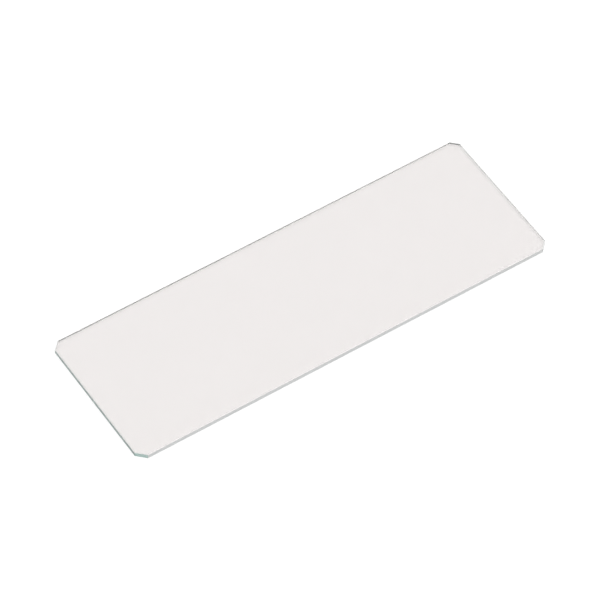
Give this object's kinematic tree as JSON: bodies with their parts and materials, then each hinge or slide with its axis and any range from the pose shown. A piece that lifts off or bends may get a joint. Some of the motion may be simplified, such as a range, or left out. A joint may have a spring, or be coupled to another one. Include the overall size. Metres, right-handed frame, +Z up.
{
  "type": "microscope slide",
  "caption": "Clear glass plate with cut corners and finely ground, seamed edges, which carries a specimen under a microscope.",
  "frame": {"origin": "middle of the underside, which lies on the table or on the microscope's stage", "axes": "+X along the length, +Y along the width, +Z up through the thickness"},
  "size_m": [0.076, 0.026, 0.001],
  "materials": {
    "slide_glass": "clear colourless glass with bright flat faces; its walls and seams are finely ground and look pale grey to grey-green"
  },
  "bodies": {
    "root": {"glass_slide": "slide_glass"}
  },
  "joints": []
}
